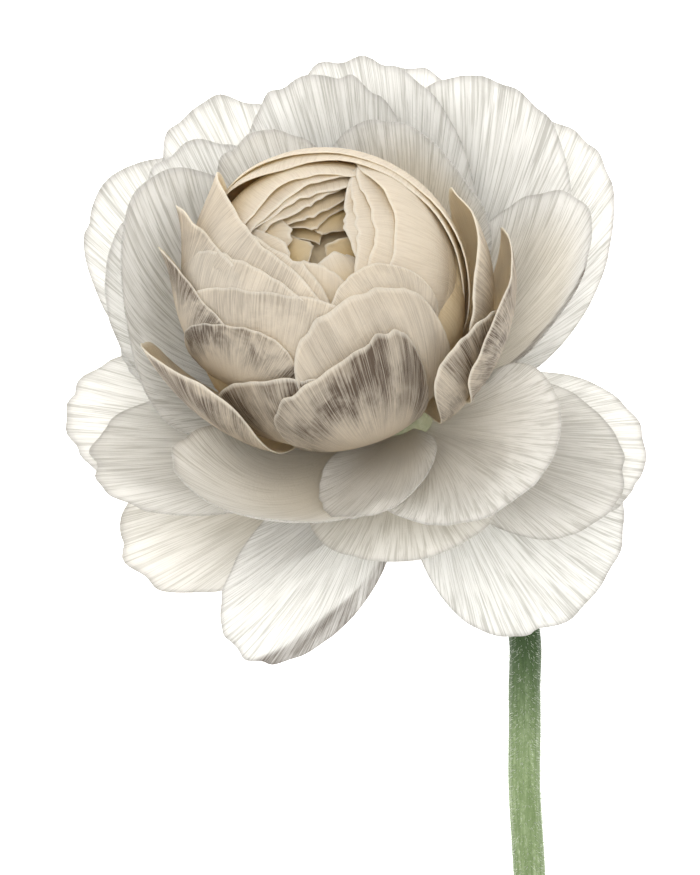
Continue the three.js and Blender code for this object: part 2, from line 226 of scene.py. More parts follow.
def axis_frame(tilt, heading):
    """Columns: right, up and along an axis that leans from +Z by tilt towards a compass heading."""
    way = np.array([math.cos(heading * DEGREE), math.sin(heading * DEGREE)])
    sine, cosine = math.sin(tilt * DEGREE), math.cos(tilt * DEGREE)
    along = [way[0] * sine, way[1] * sine, cosine]
    up = [way[0] * cosine, way[1] * cosine, -sine]
    return np.array([[way[1], -way[0], 0.0], up, along]).T


HEAD = axis_frame(*HEAD_LEAN)
EYE = axis_frame(*EYE_LEAN)
HEAD_AXIS = HEAD[:, 2]
RECEPTACLE = seen(*RECEPTACLE_SEEN)
HEART_CENTRE = seen(*HEART_SEEN)
FOCUS = RECEPTACLE + FOCUS_DISTANCE * HEAD_AXIS

# Petals of the heart lie on spheres about its centre. around is the compass direction of the midrib and half
# the half width, in degrees round the axis. rim is the margin's polar angle, counted from the claw end.
# streaks_and_shade is strongest on the near side, where it paints shade as well as streaks
BOWL_PETALS = [
    dict(around=262, half=29, radius=27.4, rim=111, slant=9, widest=0.78, blunt=0.6, streaks_and_shade=1.45, beige_and_shade=0.75),
    dict(around=238, half=30, radius=26.5, rim=108, slant=3, streaks_and_shade=1.25, beige_and_shade=0.7),
    dict(around=199, half=29, radius=28.2, rim=109, slant=4, flare=4.5, streaks_and_shade=1.2, beige_and_shade=0.6),
    dict(around=216, half=31, radius=26, rim=126, slant=6, streaks_and_shade=1.2, beige_and_shade=0.6),
    dict(around=276, half=30, radius=26.2, rim=130, widest=0.76, streaks_and_shade=0.45, beige_and_shade=0.3),
    dict(around=188, half=40, radius=25.6, rim=129.5, blunt=0.6, peel=12, streaks_and_shade=1.1, beige_and_shade=0.4),
    dict(around=186, half=52, radius=24.6, rim=148, slant=3, blunt=0.6, peel=16, streaks_and_shade=0.6, beige_and_shade=0.3),
    dict(around=190, half=78, radius=24.2, rim=161.5, blunt=0.6, peel=11, streaks_and_shade=0.35),
    dict(around=231, half=48, radius=25.3, rim=140.5, blunt=0.6, streaks_and_shade=0.45, beige_and_shade=0.35),
    dict(around=213, half=50, radius=24.95, rim=150, blunt=0.6, streaks_and_shade=0.4),
    dict(around=287, half=26, radius=25.4, rim=137, streaks_and_shade=0.35),
    dict(around=347, half=36, radius=28.4, rim=102, streaks_and_shade=0.6, beige_and_shade=0.4),
    dict(around=311, half=23, radius=30.4, rim=93, slant=-8, streaks_and_shade=1.2, beige_and_shade=0.3),
    dict(around=330, half=32, radius=32.2, rim=92, sink=8.5, start=45, streaks_and_shade=1.3, beige_and_shade=0.5),
]
# filtered_light paints golden light into the eye, more on the petals that lie deeper in it
EYE_PETALS = [
    dict(around=60, half=80, radius=24.4, rim=131, slant=14, start=60, filtered_light=0.1),
    dict(around=66, half=78, radius=23.9, rim=138, slant=14, start=75, filtered_light=0.4),
    dict(around=-2, half=70, radius=23.4, rim=148, blunt=0.35, filtered_light=0.05, beige_and_shade=0.3),
    dict(around=-4, half=68, radius=22.9, rim=157, blunt=0.35, filtered_light=0.08, beige_and_shade=0.3),
    dict(around=-2, half=66, radius=22.4, rim=164, blunt=0.35, filtered_light=0.1, beige_and_shade=0.3),
    dict(around=4, half=60, radius=21.8, rim=169, blunt=0.4, filtered_light=0.15),
    dict(around=114, half=64, radius=22.2, rim=153.5, blunt=0.4, flare=1, filtered_light=0.35),
    dict(around=120, half=60, radius=21.7, rim=159, blunt=0.4, flare=1, filtered_light=0.4),
    dict(around=112, half=62, radius=21.1, rim=162.5, blunt=0.4, flare=1, filtered_light=0.45),
    dict(around=118, half=58, radius=20.4, rim=166.5, blunt=0.4, flare=1, filtered_light=0.55),
    dict(around=112, half=58, radius=18.9, rim=170, blunt=0.4, flare=1, filtered_light=0.8),
    dict(around=108, half=60, radius=17.9, rim=174, ruffle=0.5, filtered_light=0.9),
    dict(around=215, half=62, radius=23.4, rim=161, slant=6, blunt=0.5, filtered_light=0.05, streaks_and_shade=0.35),
    dict(around=200, half=46, radius=21, rim=164, filtered_light=0.5),
    dict(around=172, half=42, radius=20.2, rim=167, ruffle=0.5, filtered_light=0.6),
    dict(around=255, half=46, radius=21.4, rim=164, blunt=0.5, filtered_light=0.35),
    dict(around=290, half=46, radius=20.4, rim=168, blunt=0.5, ruffle=0.5, filtered_light=0.5),
    dict(around=80, half=60, radius=17, rim=175, ruffle=0.9, filtered_light=0.95),
    dict(around=200, half=60, radius=17.8, rim=176, ruffle=0.9, filtered_light=0.95),
    dict(around=320, half=60, radius=17, rim=177, ruffle=0.9, filtered_light=1.0),
    dict(around=110, half=60, radius=16.2, rim=178, ruffle=0.9, filtered_light=1.0),
    dict(around=345, half=55, radius=22.9, rim=128, start=60, filtered_light=0.2),
]

# Outer petals: where the photograph shows the tip and the middle of the midrib, with their heights
# beige_and_shade paints shade with a beige tone, most on the lower petals under the bloom and where petals
# overlap
OUTER_PETALS = [
    dict(tip=(120, 172, 0.6), belly=(237, 312, 1.2), width=36, cup=8, bank=14),
    dict(tip=(198, 105, 2), belly=(292, 272, 2.2), width=33, cup=8, bank=8, rise=1),
    dict(tip=(408, 65, 2), belly=(405, 250, 1.2), width=34, cup=8),
    dict(tip=(563, 124, 1), belly=(494, 286, 3.2), width=34, cup=5, bank=-20, rise=0.5),
    dict(tip=(345, 58, 9), belly=(382, 240, 4.8), width=37, cup=15, rise=2),
    dict(tip=(308, 76, 15), belly=(352, 250, 6), width=31, cup=8, blunt=0.7, rise=4),
    dict(tip=(484, 76, 10), belly=(462, 250, 6), width=41, cup=15, rise=3),
    dict(tip=(402, 126, 23), belly=(407, 250, 10), width=35, cup=28, rise=5.5, filtered_light=0.2),
    dict(
        tip=(578, 198, 22), belly=(508, 313, 17), width=28, cup=40, rise=5, beige_and_shade=0.2, filtered_light=0.12,
        painted_fold_shade=(1, 0.3)),
    dict(tip=(116, 236, 20), belly=(224, 335, 6.7), width=34, cup=25, bank=8, rise=2.5),
    dict(tip=(170, 152, 20), belly=(270, 300, 7), width=32, cup=12, bank=8, rise=3.5),
    dict(tip=(243, 138, 28), belly=(308, 270, 9.2), width=29, cup=25, rise=5.5, beige_and_shade=0.1),
    dict(tip=(124, 212, 38), belly=(216, 335, 10.4), width=48, cup=45, bank=8, rise=5.5, beige_and_shade=0.15),
    dict(tip=(67, 421, 14), belly=(240, 432, 9), width=37, cup=8, beige_and_shade=0.3),
    dict(tip=(120, 355, 15), belly=(250, 395, 9.5), width=14, cup=10, rise=1.5),
    dict(tip=(92, 465, 21), belly=(250, 452, 15.5), width=30, cup=15, rise=3, beige_and_shade=0.6),
    dict(tip=(124, 557, 12), belly=(278, 492, 11), width=31, cup=10, bank=10, beige_and_shade=0.8),
    dict(tip=(215, 588, 8), belly=(320, 505, 9), width=20, cup=10, rise=1, beige_and_shade=0.3),
    dict(
        tip=(236, 651, 26), belly=(322, 552, 20), width=23, cup=20, bank=30, rise=0.5,
        painted_fold_shade=(-1, 0.02)),
    dict(tip=(596, 592, 16), belly=(505, 515, 16), width=41, cup=8, rise=1.5),
    dict(tip=(645, 462, 12), belly=(520, 446, 12), width=34, cup=8, rise=1, beige_and_shade=0.2),
    dict(tip=(622, 488, 18), belly=(510, 455, 17.5), width=32, cup=10, rise=3, beige_and_shade=0.6),
    dict(tip=(432, 557, 38), belly=(414, 493, 26), width=38, cup=30, rise=4, beige_and_shade=0.8),
    dict(tip=(515, 504, 44), belly=(466, 461, 30), width=41, cup=50, rise=4, beige_and_shade=0.6),
    dict(tip=(342, 521, 44), belly=(386, 470, 33), width=20, cup=30, rise=5.5, beige_and_shade=1.0),
    dict(tip=(172, 458, 42), belly=(290, 500, 32), width=37, cup=30, bank=-6, rise=5, beige_and_shade=1.0),
]

# Where the stem lies on the table, from the bend under the bloom to its cut end
STEM_COURSE = [(24, -23), (30.5, -33), (31, -46), (31, -62), (32, -80), (32.8, -105), (31, -150)]


def unit(vectors):
    """Vectors of the same directions and of length 1."""
    return vectors / np.linalg.norm(vectors, axis=-1, keepdims=True)


def smooth(low, high, value):
    """0 below low, 1 above high and a soft step between them."""
    t = np.clip((value - low) / (high - low), 0, 1)
    return t * t * (3 - 2 * t)


def margin(u, widest, blunt, taper):
    """Margin of a petal of unit length and unit half width, for u from -1 to 1 round it from claw to claw."""
    turn = u * MARGIN_SWEEP * DEGREE
    forward = np.cos(turn)
    ahead = widest + (1 - widest) * np.abs(forward) ** blunt
    reach = np.where(forward > 0, ahead, widest + widest * forward)
    side = np.sign(u) * np.abs(np.sin(turn)) ** np.where(forward > 0, SIDE_CURVE, taper)
    return reach, side


def spread(u, v, widest, blunt, taper, claw):
    """A petal spreads from its claw at v = 0 to its margin at v = 1."""
    reach, side = margin(u, widest, blunt, taper)
    return reach * v, claw * u * (1 - v) + side * v ** SPREAD_CURVE


def wander(u, seed, count, low, high):
    """A seeded sum of waves of mixed lengths."""
    draw = np.random.default_rng(seed)
    total = np.zeros_like(u)
    for _ in range(count):
        total = total + np.sin(draw.uniform(low, high) * u + draw.uniform(0, 2 * math.pi))
    return total / math.sqrt(count)


def ragged(u, v, seed):
    """How a margin wavers: short waves and a few nicks, as a share of the petal's length."""
    draw = np.random.default_rng(seed + NICK_SEED)
    nicks = np.zeros_like(u)
    for _ in range(NICK_COUNT):
        depth = draw.uniform(*NICK_SIZES)
        place = draw.uniform(*NICK_PLACES)
        nicks = nicks + depth * np.exp(-((u - place) / NICK_WIDTH) ** 2)
    return (WAVER_DEPTH * wander(u, seed, *WAVER_WAVES) - NICK_DEPTH * nicks) * v ** 2


def ripple(u, v, seed, size):
    """A soft waviness that grows towards the margin."""
    return size * wander(u + RIPPLE_LEAN * v, seed + RIPPLE_SEED, *RIPPLE_WAVES) * v ** RIPPLE_GROWTH


def crinkle(u, v, seed, size):
    """The last strip before the margin turns to and fro."""
    return size * wander(u, seed + CRINKLE_SEED, *CRINKLE_WAVES) * smooth(*CRINKLED_STRIP, v)


def pleats(u, v, seed):
    """Fine ribs that fan out from the claw."""
    draw = np.random.default_rng(seed + PLEAT_SEED)
    total = np.zeros_like(u)
    for count in PLEAT_COUNTS:
        start = draw.uniform(0, 2 * math.pi)
        turn = draw.uniform(-1, 1)
        total = total + np.sin(count * math.pi * u + start + turn * v)
    return PLEAT_HEIGHT * total / len(PLEAT_COUNTS) * smooth(*PLEATED_PART, v)


def with_relief(base, u, v, seed, ruffle, crimp):
    """A height off a petal's middle surface, with its ripples, crinkled margin and ribs added."""
    return base + ripple(u, v, seed, ruffle) + crinkle(u, v, seed, crimp) + pleats(u, v, seed)


def heart_distance(petal, along, across):
    """How far a heart petal is from the heart's centre: it may flare or peel off, and sinks to its claw."""
    distance = petal["radius"] + petal.get("flare", 0) * along ** 3
    distance = distance + petal.get("peel", 0) * (np.maximum(-across, 0) * along) ** 3
    return distance - petal.get("sink", HEART_SINK) * (1 - np.minimum(along, 1)) ** 3


def heart_surface(petal, axes, seed):
    """Middle surface of a heart petal, as a function of u and v."""
    start, widest = OUTERMOST_FORM if petal["radius"] > OUTERMOST_RADIUS else WRAPPED_FORM
    start = petal.get("start", start)
    shape = (petal.get("widest", widest), petal.get("blunt", HEART_BLUNT), HEART_TAPER, HEART_CLAW)
    ruffle = petal.get("ruffle", HEART_RUFFLE)

    def point(u, v):
        along, across = spread(u, v, *shape)
        along = along * (1 + ragged(u, v, seed))
        polar = start + (petal["rim"] - start) * along + petal.get("slant", 0) * across * v
        compass = (petal["around"] + petal["half"] * across) * DEGREE
        distance = with_relief(heart_distance(petal, along, across), u, v, seed, ruffle, HEART_CRINKLE)
        flat = distance * np.sin(polar * DEGREE)
        local = [flat * np.cos(compass), flat * np.sin(compass), -distance * np.cos(polar * DEGREE)]
        return np.stack(local, -1) @ axes.T + HEART_CENTRE

    return point


def petal_root(belly, rise):
    """Where an outer petal leaves the receptacle."""
    out = belly - RECEPTACLE
    out = out - (out @ HEAD_AXIS) * HEAD_AXIS
    return RECEPTACLE + unit(out) * ROOT_RING + rise * HEAD_AXIS


def settled(height):
    """A petal that would sink into the table lies on it instead."""
    above = height - LEAST_HEIGHT
    return LEAST_HEIGHT + (above + np.hypot(above, SETTLE_SOFTNESS)) / 2


def banked(tangent, belly, bank):
    """Directions across and off an outer petal's middle surface, turned about its midrib by its bank."""
    side = unit(np.cross(tangent, FOCUS - belly))
    inward = np.cross(side, tangent)
    rightward = side * math.cos(bank) + inward * math.sin(bank)
    upward = inward * math.cos(bank) - side * math.sin(bank)
    return rightward, upward


def outer_surface(petal, seed):
    """Middle surface of an outer petal: a bent midrib with a curved section across it."""
    tip, belly = seen(*petal["tip"]), seen(*petal["belly"])
    root = petal_root(belly, petal.get("rise", 0))
    control = 2 * belly - (root + tip) / 2
    half = petal["width"] / 2
    shape = (OUTER_WIDEST, petal.get("blunt", OUTER_BLUNT), OUTER_TAPER, OUTER_CLAW)
    bank = petal.get("bank", 0) * DEGREE
    bow = petal["cup"] * DEGREE

    def point(u, v):
        along, across = spread(u, v, *shape)
        along = along * (1 + ragged(u, v, seed))
        t = along[..., None]
        middle = (1 - t) ** 2 * root + 2 * t * (1 - t) * control + t ** 2 * tip
        tangent = unit((1 - t) * (control - root) + t * (tip - control))
        rightward, upward = banked(tangent, belly, bank)
        sideways = half / bow * np.sin(bow * across)
        lift = half / bow * (1 - np.cos(bow * across))
        lift = with_relief(lift, u, v, seed, OUTER_RUFFLE, OUTER_CRINKLE)
        place = middle + rightward * sideways[..., None] + upward * lift[..., None]
        place[..., 2] = settled(place[..., 2])
        return place

    return point


def sepal_surface(around, seed):
    """Middle surface of a sepal that folds back along the stem."""
    def point(u, v):
        along, across = spread(u, v, *SEPAL_SHAPE)
        along = along * (1 + ragged(u, v, seed))
        compass = around * DEGREE + across * SEPAL_WIDTH / 2 / CALYX_RADIUS
        radius = CALYX_RADIUS - 1 + SEPAL_SPREAD * along ** 1.5 + ripple(u, v, seed, SEPAL_RUFFLE)
        height = RECEPTACLE_BOTTOM - CLEARANCE - CALYX_THICKNESS / 2 - SEPAL_LENGTH * along
        local = np.stack([radius * np.cos(compass), radius * np.sin(compass), height], -1)
        return local @ HEAD.T + RECEPTACLE

    return point


def closed_blade(point, columns, rows, thickness):
    """Points, quads and (u, v) of a closed petal about a middle surface, thinner towards its margin."""
    u, v = np.meshgrid(np.linspace(-1, 1, columns + 1), np.linspace(0, 1, rows + 1))
    inner = np.maximum(v, NORMAL_INSET)
    across = point(u + NORMAL_STEP, inner) - point(u - NORMAL_STEP, inner)
    inset = u * (1 - NORMAL_INSET)
    along = point(inset, inner + NORMAL_STEP) - point(inset, inner - NORMAL_STEP)
    normal = unit(np.cross(across, along))
    half = (thickness * (1 - MARGIN_THINNING * v ** 2) / 2)[..., None]
    middle = point(u, v)
    front = (middle + half * normal).reshape(-1, 3)
    back = (middle - half * normal).reshape(-1, 3)
    uv = np.stack([u, v], -1).reshape(-1, 2)
    return np.concatenate([front, back]), closed_grid(columns, rows), np.concatenate([uv, uv])


def closed_grid(columns, rows):
    """Quads over two grids of points, one on each face of a petal, with quads round the border."""
    index = np.arange((rows + 1) * (columns + 1)).reshape(rows + 1, columns + 1)
    corners = [index[:-1, :-1], index[:-1, 1:], index[1:, 1:], index[1:, :-1]]
    top = np.stack(corners, -1).reshape(-1, 4)
    bottom = top[:, ::-1] + index.size
    ring = np.concatenate([index[0, :-1], index[:-1, -1], index[-1, :0:-1], index[:0:-1, 0]])
    following = np.roll(ring, -1)
    border = np.stack([following, ring, ring + index.size, following + index.size], -1)
    return np.concatenate([top, bottom, border])


def add_faces(mesh, faces):
    """Gives a mesh its faces, and returns the point at each of their corners."""
    sizes = np.array([len(face) for face in faces])
    corners = np.concatenate(faces)
    starts = np.concatenate([[0], np.cumsum(sizes)[:-1]])
    mesh.loops.add(len(corners))
    mesh.loops.foreach_set("vertex_index", corners.astype(np.int32))
    mesh.polygons.add(len(sizes))
    mesh.polygons.foreach_set("loop_start", starts.astype(np.int32))
    mesh.update(calc_edges=True)
    return corners


def write_mesh(name, points, faces, uv, tones):
    """A smooth mesh object from points in millimetres, with a UV place and named tones at each point."""
    mesh = bpy.data.meshes.new(name)
    mesh.vertices.add(len(points))
    mesh.vertices.foreach_set("co", ((points + PICTURE_MIDDLE) * MM).astype(np.float32).ravel())
    corners = add_faces(mesh, faces)
    layer = mesh.uv_layers.new(name="petal")
    layer.uv.foreach_set("vector", uv[corners].astype(np.float32).ravel())
    for label, values in tones.items():
        attribute = mesh.attributes.new(label, "FLOAT", "POINT")
        attribute.data.foreach_set("value", values.astype(np.float32))
    mesh.shade_smooth()
    piece = bpy.data.objects.new(name, mesh)
    bpy.context.scene.collection.objects.link(piece)
    return piece


def finish_piece(piece, material, node):
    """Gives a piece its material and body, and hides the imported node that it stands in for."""
    piece.data.materials.append(material)
    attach(piece, "root")
    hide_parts(node)


def facing_in(points):
    """1 on the face of a heart petal that looks at the bloom's middle, and 0 on its outer face."""
    reach = np.linalg.norm(points - HEART_CENTRE, axis=1).reshape(2, -1)
    return np.concatenate([reach[0] < reach[1], reach[1] <= reach[0]]).astype(float)


def petal_tones(uv, petal, inside):
    """How a petal is streaked with painted shade, lit gold with painted light and beige with painted shade,
    from its claw to its margin, with a plain inner face.
    """
    u, v = uv[:, 0], uv[:, 1]
    outside = 1 - SPARED_INSIDE * inside
    band = smooth(*STREAKS_AND_SHADE_GROWS, v) * (1 - SPARED_RIM * smooth(*STREAKS_AND_SHADE_ENDS, v))
    streaks_and_shade = petal.get("streaks_and_shade", 0) * band * (1 - SPARED_SIDES * u ** 2) * outside
    filtered_light = petal.get("filtered_light", 0)
    depth = 1 - smooth(*FILTERED_LIGHT_FADES, v) * (1 - DEEP_FILTERED_LIGHT_GAIN * max(filtered_light - DEEP_FILTERED_LIGHT, 0))
    claw = 1 - SPARED_TIP * smooth(*BEIGE_AND_SHADE_FADES, v)
    return {
        "streaks_and_shade": np.maximum(streaks_and_shade, painted_fold_shade(petal, u, v)),
        "filtered_light": np.maximum(filtered_light * depth, INNER_FILTERED_LIGHT * inside),
        "beige_and_shade": petal.get("beige_and_shade", 0) * claw * outside,
        "edge": smooth(*EDGE_STARTS, v),
    }


def painted_fold_shade(petal, u, v):
    """A dark strip of painted shade along a margin, on the side and from the place that the petal gives,
    where the flower's margin turns over; the mesh does not turn over.
    """
    side, first = petal.get("painted_fold_shade", (0, 1))
    inner = 1 - FOLD_SHADE_WIDTH * smooth(first, first + FOLD_SHADE_ONSET, side * u)
    return FOLD_SHADE_STRENGTH * smooth(inner, inner + FOLD_SHADE_SOFTNESS, v)


def add_petal(name, petal, point, blade, seed, material, node):
    """A closed petal about a middle surface. Its seed also moves its veins."""
    points, faces, uv = closed_blade(point, *blade)
    inside = facing_in(points) if node == "heart" else np.zeros(len(points))
    shifted = uv * [0.5, 1] + [0.5 + VEIN_SHIFT * seed, 0]
    piece = write_mesh(name, points, faces, shifted, petal_tones(uv, petal, inside))
    finish_piece(piece, material, node)


# Node materials

def feed(tree, socket, value):
    """Links a socket to another one, or gives it a value of its own."""
    if isinstance(value, bpy.types.NodeSocket):
        tree.links.new(value, socket)
    else:
        socket.default_value = value


def add_node(tree, kind, inputs=None, **settings):
    """A shader node with its settings and what goes into its sockets."""
    made = tree.nodes.new(kind)
    for key, value in settings.items():
        setattr(made, key, value)
    for key, value in (inputs or {}).items():
        feed(tree, made.inputs[key], value)
    return made


def colour_mix(tree, factor, first, second, blend="MIX"):
    """Two colours mixed. The node keeps its colours in sockets 6 and 7 and its result in socket 2."""
    sockets = {0: factor, 6: first, 7: second}
    return add_node(tree, "ShaderNodeMix", sockets, data_type="RGBA", blend_type=blend).outputs[2]


def maths(tree, operation, first, second):
    """The result of a sum or product of two values."""
    return add_node(tree, "ShaderNodeMath", {0: first, 1: second}, operation=operation).outputs[0]


def product(tree, first, second):
    """Two values multiplied."""
    return maths(tree, "MULTIPLY", first, second)


def stretched_noise(tree, across, along, detail):
    """Noise drawn out along the petal, in its own (u, v)."""
    place = add_node(tree, "ShaderNodeUVMap", uv_map="petal").outputs[0]
    scaled = add_node(tree, "ShaderNodeMapping", {"Vector": place, "Scale": (across, along, 1)}).outputs[0]
    return add_node(tree, "ShaderNodeTexNoise", {"Vector": scaled, "Detail": detail, **NOISE_LOOK}).outputs[0]


def steps(tree, value, low, high):
    """A soft step from 0 at low to 1 at high."""
    limits = {"Value": value, "From Min": low, "From Max": high}
    return add_node(tree, "ShaderNodeMapRange", limits, interpolation_type="SMOOTHSTEP").outputs[0]


def tone(tree, name):
    """A tone that the mesh carries at its points."""
    found = add_node(tree, "ShaderNodeAttribute", attribute_name=name, attribute_type="GEOMETRY")
    return found.outputs["Fac"]


def shifted_up(tree, value, least):
    """A value from 0 to 1, moved into the range from least to 1."""
    return maths(tree, "ADD", product(tree, value, 1 - least), least)


def relief(tree, height, strength):
    """A surface's normal, with a fine height on it."""
    look = {"Strength": strength, "Distance": RELIEF_DEPTH, "Height": height}
    return add_node(tree, "ShaderNodeBump", look).outputs[0]


def empty_material(name):
    """A node material with nothing in its tree."""
    material = bpy.data.materials.new(name)
    material.use_nodes = True
    material.node_tree.nodes.clear()
    return material


def petal_colour(tree, fine, broad, look):
    """Base colour with fanned veins, painted golden light in the depths, a beige claw with painted shade, a
    rim (a painted highlight on the heart, a darker line on the outer petals) and streaks with painted shade.
    """
    veined = product(tree, steps(tree, fine, *VEIN_STEP), look["vein_strength"])
    colour = colour_mix(tree, veined, look["base"], look["veins"])
    colour = colour_mix(tree, tone(tree, "filtered_light"), colour, FILTERED_LIGHT_COLOUR)
    colour = colour_mix(tree, tone(tree, "beige_and_shade"), colour, look["claw"])
    # The heart's pale rim is a painted highlight, the outer petals' rim a darker line
    colour = colour_mix(tree, product(tree, tone(tree, "edge"), look["rim_line_and_highlight_strength"]), colour, look["rim"])
    patch = shifted_up(tree, steps(tree, broad, *PATCH_STEP), LEAST_PATCH)
    streak = shifted_up(tree, steps(tree, fine, *STREAK_STEP), LEAST_STREAK)
    streaked_and_shaded = product(tree, tone(tree, "streaks_and_shade"), product(tree, patch, streak))
    return colour_mix(tree, streaked_and_shaded, colour, STREAKS_AND_SHADE_COLOUR)


def petal_material(name, look):
    """Thin tissue that lets some light through, with veins and small crinkles in its surface."""
    material = empty_material(name)
    tree = material.node_tree
    fine = stretched_noise(tree, look["fineness"], *VEIN_NOISE)
    broad = stretched_noise(tree, *BROAD_NOISE)
    crepe = stretched_noise(tree, *CREPE_NOISE)
    colour = petal_colour(tree, fine, broad, look)
    height = maths(tree, "ADD", product(tree, fine, FINE_HEIGHT), product(tree, crepe, CREPE_HEIGHT))
    bump = relief(tree, height, PETAL_RELIEF)
    skin = {"Base Color": colour, "Normal": bump, **PETAL_SKIN}
    surface = add_node(tree, "ShaderNodeBsdfPrincipled", skin).outputs[0]
    glow_colour = colour_mix(tree, 1.0, colour, look["through"], "MULTIPLY")
    glow = add_node(tree, "ShaderNodeBsdfTranslucent", {"Color": glow_colour, "Normal": bump}).outputs[0]
    mixed = add_node(tree, "ShaderNodeMixShader", {0: look["translucence"], 1: surface, 2: glow}).outputs[0]
    add_node(tree, "ShaderNodeOutputMaterial", {"Surface": mixed})
    return material


def green_material(name, base, dark, pale):
    """Mottled green skin with fine ribs, darker under the bloom and pale where it is cut."""
    material = empty_material(name)
    tree = material.node_tree
    ribs = stretched_noise(tree, *RIB_NOISE)
    mottle = stretched_noise(tree, *MOTTLE_NOISE)
    colour = colour_mix(tree, steps(tree, ribs, *RIB_STEP), base, pale)
    colour = colour_mix(tree, steps(tree, mottle, *MOTTLE_STEP), colour, base)
    flecks = product(tree, steps(tree, mottle, *FLECK_STEP), FLECK_STRENGTH)
    colour = colour_mix(tree, flecks, colour, pale)
    colour = colour_mix(tree, product(tree, tone(tree, "shade"), SHADE_STRENGTH), colour, dark)
    colour = colour_mix(tree, tone(tree, "cut"), colour, CUT_GREEN)
    bump = relief(tree, maths(tree, "ADD", ribs, product(tree, mottle, MOTTLE_HEIGHT)), GREEN_RELIEF)
    skin = {"Base Color": colour, "Normal": bump, **GREEN_SKIN}
    surface = add_node(tree, "ShaderNodeBsdfPrincipled", skin).outputs[0]
    add_node(tree, "ShaderNodeOutputMaterial", {"Surface": surface})
    return material


def down_material():
    """Pale plant hair, with a little unevenness in its colour."""
    material = bpy.data.materials.new("down")
    material.use_nodes = True
    tree = material.node_tree
    place = add_node(tree, "ShaderNodeTexCoord").outputs["Object"]
    noise = add_node(tree, "ShaderNodeTexNoise", {"Vector": place, "Scale": HAIR_NOISE_SCALE}).outputs[0]
    colour = colour_mix(tree, noise, *HAIR_COLOURS)
    tree.links.new(colour, tree.nodes["Principled BSDF"].inputs["Base Color"])
    return material


# Camera and stage

def add_camera():
    """The camera looks straight down on the middle of the picture."""
    lens = bpy.data.cameras.new("camera")
    lens.lens = LENS
    lens.clip_end = CAMERA_REACH
    camera = bpy.data.objects.new("camera", lens)
    camera.location = (PICTURE_MIDDLE + [0, 0, CAMERA_HEIGHT]) * MM
    bpy.context.scene.collection.objects.link(camera)
    bpy.context.scene.camera = camera


def add_floor():
    """A plain pale surface, lit a little from within."""
    bpy.ops.mesh.primitive_plane_add(size=FLOOR_SIZE, location=(0, 0, 0))
    floor = bpy.context.object
    floor.name = "floor"
    material = bpy.data.materials.new("floor")
    material.use_nodes = True
    surface = material.node_tree.nodes["Principled BSDF"]
    surface.inputs["Base Color"].default_value = FLOOR_COLOUR
    surface.inputs["Roughness"].default_value = FLOOR_ROUGHNESS
    surface.inputs["Emission Color"].default_value = WHITE
    surface.inputs["Emission Strength"].default_value = FLOOR_GLOW
    floor.data.materials.append(material)


def add_world():
    """White light from all sides."""
    world = bpy.data.worlds.new("world")
    bpy.context.scene.world = world
    world.use_nodes = True
    background = world.node_tree.nodes["Background"]
    background.inputs["Color"].default_value = WHITE
    background.inputs["Strength"].default_value = WORLD_GLOW


def add_light(name, place, size, power):
    """A square soft light that shines on the bloom."""
    light = bpy.data.lights.new(name, "AREA")
    light.size = size
    light.energy = power
    lamp = bpy.data.objects.new(name, light)
    bloom = (PICTURE_MIDDLE + HEART_CENTRE) * MM
    way = np.array(place) - bloom
    lean = math.acos(way[2] / np.linalg.norm(way))
    lamp.location = place
    lamp.rotation_euler = (lean, 0, math.atan2(way[1], way[0]) + math.pi / 2)
    bpy.context.scene.collection.objects.link(lamp)


# The flower

def add_heart(material):
    """The petals of the bowl and those of the eye that they wrap."""
    groups = (
        ("bowl_petal", BOWL_PETALS, HEAD, BOWL_BLADE, BOWL_SEED),
        ("eye_petal", EYE_PETALS, EYE, EYE_BLADE, EYE_SEED),
    )
    for kind, petals, axes, blade, first_seed in groups:
        for order, petal in enumerate(petals):
            seed = order + first_seed
            name = f"{kind}_{order + 1:02d}"
            point = heart_surface(petal, axes, seed)
            add_petal(name, petal, point, blade, seed, material, "heart")


def add_outer(material):
    """The ring of cup petals and guard petals."""
    for order, petal in enumerate(OUTER_PETALS):
        seed = order + OUTER_SEED
        name = f"outer_petal_{order + 1:02d}"
        point = outer_surface(petal, seed)
        add_petal(name, petal, point, OUTER_BLADE, seed, material, "outer_petals")


def tube_faces(rings, turns):
    """Quads between rings of points, with a face over each end."""
    faces = [list(range(turns))[::-1]]
    for ring in range(rings - 1):
        for turn in range(turns):
            after = (turn + 1) % turns
            low, high = ring * turns, (ring + 1) * turns
            faces.append([low + turn, low + after, high + after, high + turn])
    faces.append([(rings - 1) * turns + turn for turn in range(turns)])
    return faces


def revolved(profile, centre, lobes):
    """Points and (u, v) of a body turned about the bloom's axis, from (radius, height) pairs."""
    points, uv = [], []
    for level, (radius, height) in enumerate(profile):
        for turn in range(ROUND_TURNS):
            around = 2 * math.pi * turn / ROUND_TURNS
            wide = radius * (1 + lobes * math.sin(LOBE_COUNT * around + LOBE_TWIST * level))
            local = np.array([wide * math.cos(around), wide * math.sin(around), height])
            points.append(HEAD @ local + centre)
            uv.append((turn / ROUND_TURNS, level / len(profile)))
    return np.array(points), np.array(uv)


def add_round(name, profile, centre, lobes, filtered_light, material, node):
    """A faintly lobed body turned about the bloom's axis."""
    points, uv = revolved(profile, centre, lobes)
    # The core takes painted golden light, the other bodies none
    tones = {"filtered_light": np.full(len(points), filtered_light)} if filtered_light else {}
    piece = write_mesh(name, points, tube_faces(len(profile), ROUND_TURNS), uv, tones)
    finish_piece(piece, material, node)


